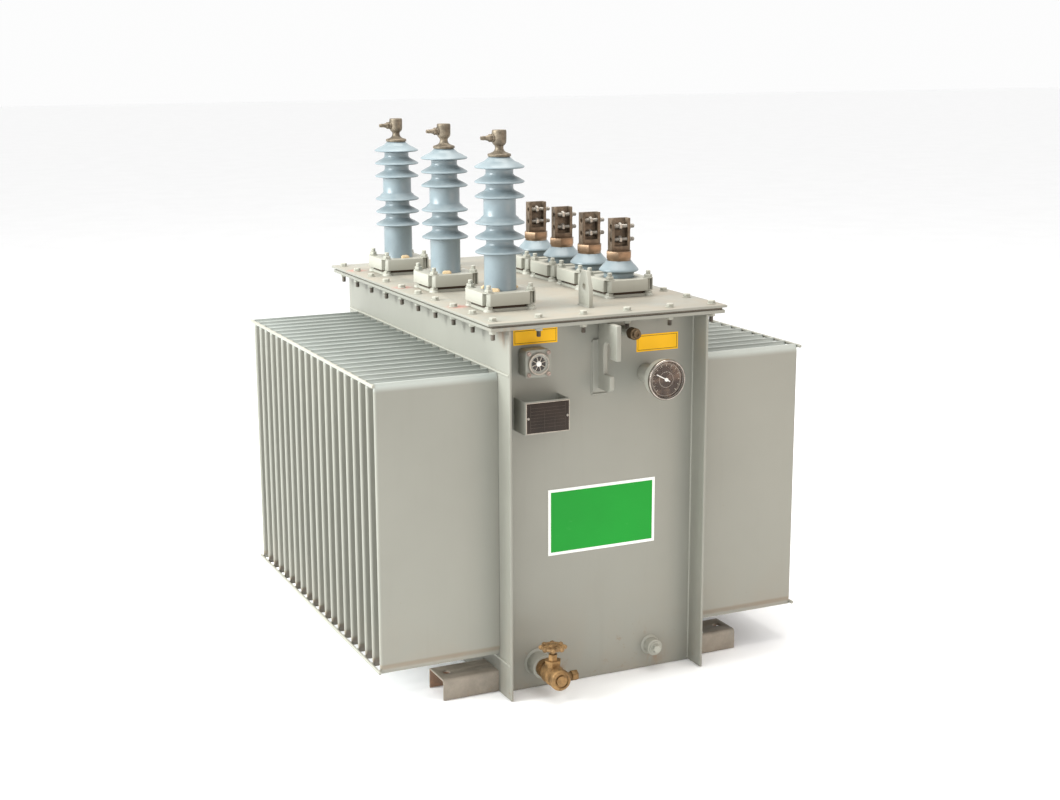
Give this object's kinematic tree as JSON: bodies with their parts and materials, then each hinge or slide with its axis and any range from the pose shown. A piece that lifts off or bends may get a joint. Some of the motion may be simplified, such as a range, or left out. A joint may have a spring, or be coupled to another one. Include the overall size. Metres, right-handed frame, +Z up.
{
  "type": "oil-filled distribution transformer",
  "caption": "Sealed oil-filled distribution transformer with corrugated fin banks, bolted cover, high- and low-voltage bushings, end-wall instruments, drain valve and skids.",
  "frame": {"origin": "on the ground under the middle of the tank, the centre of the skids' bolt pattern", "axes": "+X to the right across the tank, seen from the instrument end; +Y from the instrument end to the far end; +Z up"},
  "size_m": [1.122, 1.201, 1.3037],
  "materials": {
    "tank_paint": "satin light grey-green paint, slightly weathered",
    "cover_paint": "satin pale grey paint, dusty",
    "skid_paint": "grey paint with rust on the inside",
    "gasket_rubber": "matt black",
    "porcelain": "glossy blue-grey glaze",
    "hv_terminal_bronze": "dull tinned bronze",
    "lv_flag_brass": "dull, darkened brass",
    "lv_nut_copper": "copper-coloured, machined",
    "valve_brass": "aged brass",
    "bezel_chrome": "polished",
    "instrument_case": "satin grey",
    "rating_plate": "dark brown, bare of lettering"
  },
  "bodies": {
    "transformer": {"front_wall": "tank_paint", "back_wall": "tank_paint", "side_plate_left": "tank_paint", "side_plate_right": "tank_paint", "tank_bottom": "tank_paint", "rim_flange": "tank_paint", "fin_bank_left": "tank_paint", "fin_bank_right": "tank_paint", "fin_tie_rods": "tank_paint", "lifting_hook_front": "tank_paint", "lifting_hook_back": "tank_paint", "relief_stub": "tank_paint", "drain_valve_boss": "tank_paint", "rating_plate_bracket": "tank_paint", "level_gauge": "tank_paint", "cover": "cover_paint", "cover_lug_front": "cover_paint", "cover_lug_back": "cover_paint", "hv_clamp_frames": "cover_paint", "lv_clamp_frames": "cover_paint", "earthing_boss": "cover_paint", "skid_channel_front": "skid_paint", "skid_channel_back": "skid_paint", "cover_gasket": "gasket_rubber", "hv_bushing_front": "porcelain", "hv_bushing_middle": "porcelain", "hv_bushing_back": "porcelain", "lv_bushing_1": "porcelain", "lv_bushing_2": "porcelain", "lv_bushing_3": "porcelain", "lv_bushing_4": "porcelain", "hv_terminal_front": "hv_terminal_bronze", "hv_terminal_middle": "hv_terminal_bronze", "hv_terminal_back": "hv_terminal_bronze", "lv_terminal_flags": "lv_flag_brass", "lv_terminal_nuts": "lv_nut_copper", "drain_valve_body": "valve_brass", "drain_valve_cap": "valve_brass", "drain_port_plug": "valve_brass", "relief_plug": "valve_brass", "level_gauge_bezel": "bezel_chrome", "thermometer_bezel": "bezel_chrome", "thermometer": "instrument_case", "rating_plate": "rating_plate"},
    "handwheel": {"drain_valve_handwheel": "valve_brass"}
  },
  "joints": [
    {"name": "drain_valve_turn", "type": "hinge", "parent": "transformer", "child": "handwheel", "pos_m": [-0.163, -0.572, 0.12], "axis": [0, 0, 1], "range_deg": [0, 720]}
  ]
}
